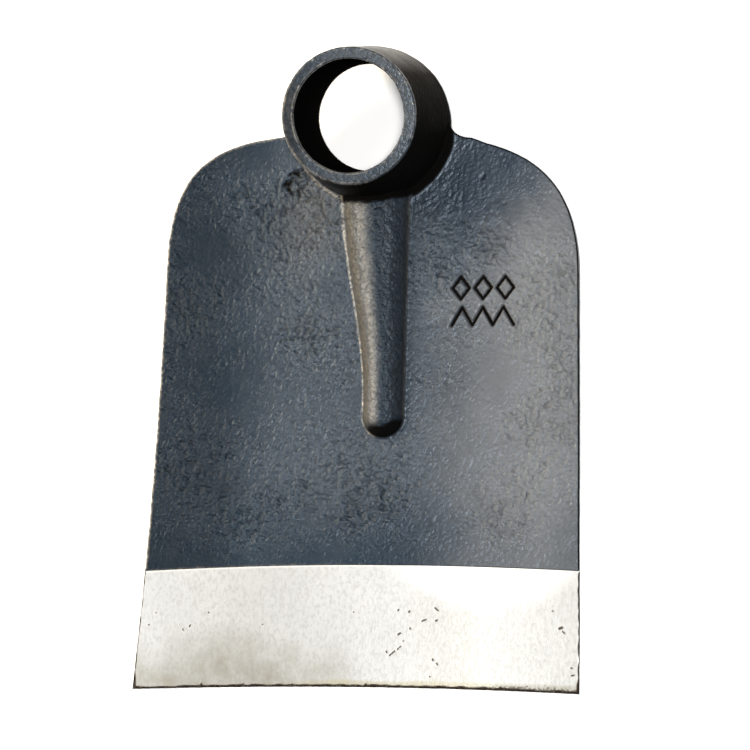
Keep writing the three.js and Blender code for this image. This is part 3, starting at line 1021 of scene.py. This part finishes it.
def build_rib(material):
    shares = np.linspace(-1, 1, RIB_ACROSS + 1)
    shares = np.sign(shares) * np.abs(shares) ** 0.8
    tip = RIB_TIP[1] - (RIB_SKIRT - 1) * RIB_HALF_WIDTH_TIP
    heights = lerp(tip, RIB_TOP[1] + 1.0, np.linspace(0, 1, RIB_ALONG + 1) ** 1.35)
    rows_x, rows_y = [], []
    for y in heights:
        _, centre, half = rib_shape(max(y, RIB_ROUND_FROM))
        reach = RIB_SKIRT * half
        if y < RIB_ROUND_FROM:
            drop = (RIB_ROUND_FROM - y) / (RIB_SKIRT * RIB_HALF_WIDTH_TIP)
            reach *= math.sqrt(max(0.0, 1 - drop ** 2)) + 0.02
        rows_x.append(centre + shares * reach)
        rows_y.append(np.full(len(shares), y))
    x, y = np.concatenate(rows_x), np.concatenate(rows_y)
    base, hollow, _, _ = plate_face(x, y)
    rise, out = rib_rise(x, y)
    points = flat_points(x, y)
    skin = 0.15 * noise(points * (1, 0.8, 1), 2.4, 72)
    skin += 0.08 * noise(points, 1.4, 73) + 0.28 * noise(points, 15, 74)
    on_rib = smooth(1.05, 0.7, out)
    wrinkle = band(y - 0.35 * (x - 4), 160, 3.2) * band(x, 5, 5)
    z = base + rise + on_rib * (skin - 0.45 * wrinkle) - 0.06 - 0.25 * smooth(1.18, 1.3, out)
    top = np.column_stack([x, y, z])
    under = np.column_stack([x, y, back_height(x, y) + 0.8])
    across, count = len(shares), len(x)
    faces = []
    for j in range(RIB_ALONG):
        for i in range(RIB_ACROSS):
            k = j * across + i
            faces.append((k, k + 1, k + across + 1, k + across))
            faces.append((count + k, count + k + across, count + k + across + 1, count + k + 1))
    ring = list(range(RIB_ACROSS)) + [j * across + RIB_ACROSS for j in range(RIB_ALONG)]
    ring += [RIB_ALONG * across + i for i in range(RIB_ACROSS, 0, -1)]
    ring += [j * across for j in range(RIB_ALONG, 0, -1)]
    for a, b in zip(ring, ring[1:] + ring[:1]):
        faces.append((a, count + a, count + b, b))
    up, centre, half = rib_shape(y)
    across_share = (x - centre) / half
    ragged = across_share + 0.06 * noise(points, 5, 75)
    # Painted highlight: a light band down the rib's left slope.
    ridge = band(ragged, -0.40, 0.26) * on_rib
    top_shadow = smooth(2.8, 1.6, collar_distance(top) + 0.5 * noise(points, 4, 77))
    # Painted light on the rib's right flank.
    right_side = smooth(0.1, 0.5, ragged) * smooth(1.05, 0.9, out)
    # Painted warm light on the rib's left flank.
    flank = smooth(-0.52, -0.78, ragged) * smooth(1.06, 0.98, out)
    # Painted shade along the crest.
    crest_shade = 0.50 * band(ragged, 0.18, 0.38) * on_rib
    # Painted highlight: a thin bright line along the left foot.
    left_foot = band(out, 1.09, 0.04) * smooth(-0.3, -0.7, across_share)
    # Painted shadow: a dark brown line along the right foot.
    right_foot = band(out, 1.03, 0.07) * smooth(0.3, 0.7, across_share)
    below_tip = (RIB_ROUND_FROM - y) / RIB_HALF_WIDTH_TIP + 0.25 * across_share
    # Painted shade on the tip's end.
    tip_shade = smooth(0.34, 0.66, out) * smooth(0.1, 0.55, below_tip) * smooth(1.12, 1.0, out)
    shaded_ends = np.maximum(tip_shade, top_shadow)
    light_band = (0.24 + 0.66 * (1 - up)) * ridge
    values = {
        "hollow": hollow * smooth(0.9, 1.2, out),
        # Painted sheen: the highlight band and light on the right flank, over the face's own painted sheen.
        "painted_sheen": painted_sheen(x, y) * smooth(0.9, 1.15, out) + (light_band + 0.10 * right_side) * (1 - shaded_ends),
        "rough": 0.80 - 0.40 * smooth(0.9, 1.2, out),
        # Worn metal laid on the band and along the left foot as painted highlight.
        "rim": 0.25 * ridge * (1 - shaded_ends) + left_foot * (0.75 + 0.5 * noise(points, 4, 76)),
        # Painted warm light on the left flank, the band and the right side, and the brown of the right foot's
        # painted shadow line.
        "earth_and_warm_light": (0.66 * flank + 0.22 * right_foot + 0.25 * ridge + 0.06 * right_side) * (1 - shaded_ends),
        # Painted shade on the tip, the right foot, the crest and under the collar.
        "shade": np.max([0.95 * tip_shade, 0.6 * right_foot, crest_shade, top_shadow], axis=0),
    }
    values = {key: np.concatenate([array, np.zeros(count)]) for key, array in values.items()}
    vertices = np.vstack([top, under])
    make_piece("rib", vertices, faces, values, material, "stiffening_rib")


# ---- collar ----

COLLAR_AROUND = 320
RIM_ROUND = 0.6


def collar_profile():
    """Closed section of the wall, as (across, swell, distance ahead, rim, inside).

    across is 0 on the outside and 1 in the bore. swell is how far outwards the surface lies
    from the circle that its rims are rounded about.
    """
    r = RIM_ROUND
    front = EYE_DEPTH - r
    rows = []

    def arc(across, ahead, turn_start, rim, inside):
        for step in range(6):
            angle = turn_start + step / 5 * math.pi / 2
            rows.append((across, r * math.cos(angle), ahead + r * math.sin(angle), rim, inside))

    rows += [(0, r, ahead, 0.0, 0.0) for ahead in np.linspace(r, front, 52)[1:-1]]
    arc(0, front, 0, 1.0, 0.0)
    rows += [(across, 0, EYE_DEPTH, 0.12, 0.0) for across in np.linspace(0, 1, 9)[1:-1]]
    arc(1, front, math.pi / 2, 1.0, 0.3)
    rows += [(1, -r, ahead, 0.0, 1.0) for ahead in np.linspace(front, r, 46)[1:-1]]
    arc(1, r, math.pi, 0.6, 0.6)
    rows += [(across, 0, 0.0, 0.1, 0.0) for across in np.linspace(1, 0, 9)[1:-1]]
    arc(0, r, 3 * math.pi / 2, 0.6, 0.0)
    return rows


def build_collar(material):
    rows = collar_profile()
    count, around = len(rows), COLLAR_AROUND
    angles = np.linspace(0, 2 * math.pi, around, endpoint=False)
    compass = np.stack([np.cos(angles), np.sin(angles)])
    blocks = []
    for across, swell, ahead, _, _ in rows:
        share = 1 - ahead / EYE_DEPTH
        outer = lerp(COLLAR_FRONT, COLLAR_BACK, share) - RIM_ROUND + swell
        bore = lerp(BORE_FRONT, BORE_BACK, share) + RIM_ROUND + swell
        outer_ring = (COLLAR_OFFSET * share)[:, None] + outer * compass
        side, up = lerp(outer_ring, bore * compass, across)
        blocks.append(from_eye(side, up, ahead))
    points = np.vstack(blocks)
    rim, inside = (np.repeat([row[k] for row in rows], around) for k in (3, 4))
    grid = points.reshape(count, around, 3)
    along = np.roll(grid, -1, axis=0) - np.roll(grid, 1, axis=0)
    around_step = np.roll(grid, -1, axis=1) - np.roll(grid, 1, axis=1)
    normals = np.cross(around_step, along).reshape(-1, 3)
    normals /= np.linalg.norm(normals, axis=1)[:, None] + 1e-9
    ahead = to_eye(points)[2]
    bumps = 0.16 * noise(points, 12, 81) + 0.045 * noise(points, 3.0, 82) + 0.03 * noise(points, 1.5, 83)
    chips = -0.45 * smooth(0.25, 0.7, noise(points, 2.0, 84)) * smooth(0.5, 1.0, rim)
    on_face = smooth(EYE_DEPTH - 0.4, EYE_DEPTH - 0.1, ahead)
    flat_face = on_face > 0.5
    bumps = np.where(flat_face, 0.03 * noise(points, 6, 85) + 0.03 * noise(points, 1.6, 86), bumps)
    moved = points + normals * (bumps + chips)[:, None]
    moved[:, 2] = np.maximum(moved[:, 2], 0.02)
    faces = []
    for j in range(count):
        nj = (j + 1) % count
        for i in range(around):
            ni = (i + 1) % around
            faces.append((j * around + i, j * around + ni, nj * around + ni, nj * around + i))
    # Painted shade: the whole inside of the bore darkened.
    hollow = 0.55 * inside + smooth(0.2, 0.6, -chips)
    turn = np.tile(angles, count)
    lower_left = smooth(-0.1, 0.7, np.cos(turn - math.radians(205)))
    # Painted shade on the front face's left end.
    face_left_shade = smooth(0.4, 1.0, -np.cos(turn))
    # Painted warm light on the upper outer wall.
    upper = smooth(-0.15, 0.8, np.sin(turn)) * smooth(0.7, 0.0, inside)
    on_rim = smooth(EYE_DEPTH - 1.0, EYE_DEPTH - 0.3, ahead)
    off_face = np.where(flat_face, 0, 1 - rim)
    specks = smooth(0.25, 0.5, noise(points, 1.7, 88)) * smooth(0.9, 0.2, inside) * on_rim
    # Painted shade: the outer wall darker, most on the side away from the light, and the bore black.
    away_from_light = smooth(-0.6, 0.5, np.cos(turn + math.radians(25)))
    wall_shade = np.where(inside > 0.5, 1.0, lerp(0.79, 0.998, away_from_light))
    # Rim wear, strongest at the lower left, where it also stands as painted highlight.
    rim_wear_and_highlight = (0.12 + 0.88 * lower_left) * (0.6 + 0.6 * noise(points, 4, 87))
    values = {
        "hollow": np.clip(hollow, 0, 1),
        "rough": np.full(len(points), 0.4),
        # Painted sheen: the front face lighter towards its upper right.
        "painted_sheen": on_face * (0.05 + 0.20 * smooth(-0.3, 0.9, np.cos(turn - math.radians(30)))),
        "rim": rim * np.maximum(rim_wear_and_highlight, specks),
        # Painted warm light on the upper outer wall.
        "earth_and_warm_light": 0.09 * upper * off_face,
        # Painted shade on the walls and bore, and on the front face's left end.
        "shade": np.maximum(off_face * wall_shade, 0.62 * on_face * face_left_shade),
    }
    make_piece("collar", moved, faces, values, material, "eye_collar")


# ---- camera, light and floor ----

CAMERA_PLACE = Vector((0.18189, -0.13698, 0.77965))
CAMERA_TARGET = Vector((0.00722, -0.00411, 0.01))
CAMERA_ROLL = math.radians(-1.715)
CAMERA_LENS = 105.6
SENSOR = 36.0


def add_camera():
    data = bpy.data.cameras.new("camera")
    data.lens = CAMERA_LENS
    data.sensor_width = SENSOR
    data.clip_start = 0.01
    camera = add_object("camera", data)
    ahead = (CAMERA_TARGET - CAMERA_PLACE).normalized()
    level = ahead.cross(Vector((0, 1, 0))).normalized()
    right = Quaternion(ahead, CAMERA_ROLL) @ level
    turn = Matrix((right, right.cross(ahead), -ahead)).transposed()
    camera.matrix_world = Matrix.Translation(CAMERA_PLACE) @ turn.to_4x4()
    bpy.context.scene.camera = camera


def add_light(name, place, target, size, power, colour):
    data = bpy.data.lights.new(name, "AREA")
    data.shape = "RECTANGLE"
    data.size, data.size_y = size
    data.energy = power
    data.color = colour
    light = add_object(name, data)
    direction = Vector(target) - Vector(place)
    light.location = place
    light.rotation_euler = direction.to_track_quat("-Z", "Y").to_euler()


def add_floor():
    half = 3.0
    mesh = bpy.data.meshes.new("floor")
    corners = [(-half, -half, 0), (half, -half, 0), (half, half, 0), (-half, half, 0)]
    mesh.from_pydata(corners, [], [(0, 1, 2, 3)])
    n = Nodes("floor_paper")
    tone = n.mix(n.spread(n.noise(400, 2, 0.5), 0.3, 0.7), (0.968, 0.968, 0.966), (0.980, 0.980, 0.978))
    n.feed("Base Color", tone)
    n.feed("Roughness", 0.9)
    mesh.materials.append(n.material)
    floor = add_object("floor", mesh)


def add_world():
    world = bpy.data.worlds.new("studio")
    bpy.context.scene.world = world
    world.use_nodes = True
    background = world.node_tree.nodes["Background"]
    background.inputs["Color"].default_value = (0.72, 0.86, 1.0, 1)
    background.inputs["Strength"].default_value = 0.25


def add_lights():
    middle = (0.0, 0.0, 0.01)
    add_light("sun_side", (-0.90, 0.32, 0.72), middle, (0.55, 0.55), 24, (1.0, 0.86, 0.68))
    add_light("overhead", (-0.50, 0.33, 1.05), middle, (0.28, 0.28), 1.2, (0.84, 0.93, 1.0))
    add_light("front_fill", (0.27, -0.20, 1.18), middle, (0.14, 0.14), 15.5, (1.0, 0.98, 0.95))


add_camera()
add_world()
add_lights()
add_floor()

forged = dark_steel("forged_steel", (0.002, 0.0075, 0.015), (0.0035, 0.011, 0.021))
collar_steel = dark_steel("collar_steel", (0.002, 0.006, 0.011), (0.005, 0.010, 0.016), 0.8)
ground = ground_steel("ground_steel")
build_plate(forged)
build_edge(ground)
build_rib(forged)
build_collar(collar_steel)

bpy.context.scene.view_settings.view_transform = "Standard"
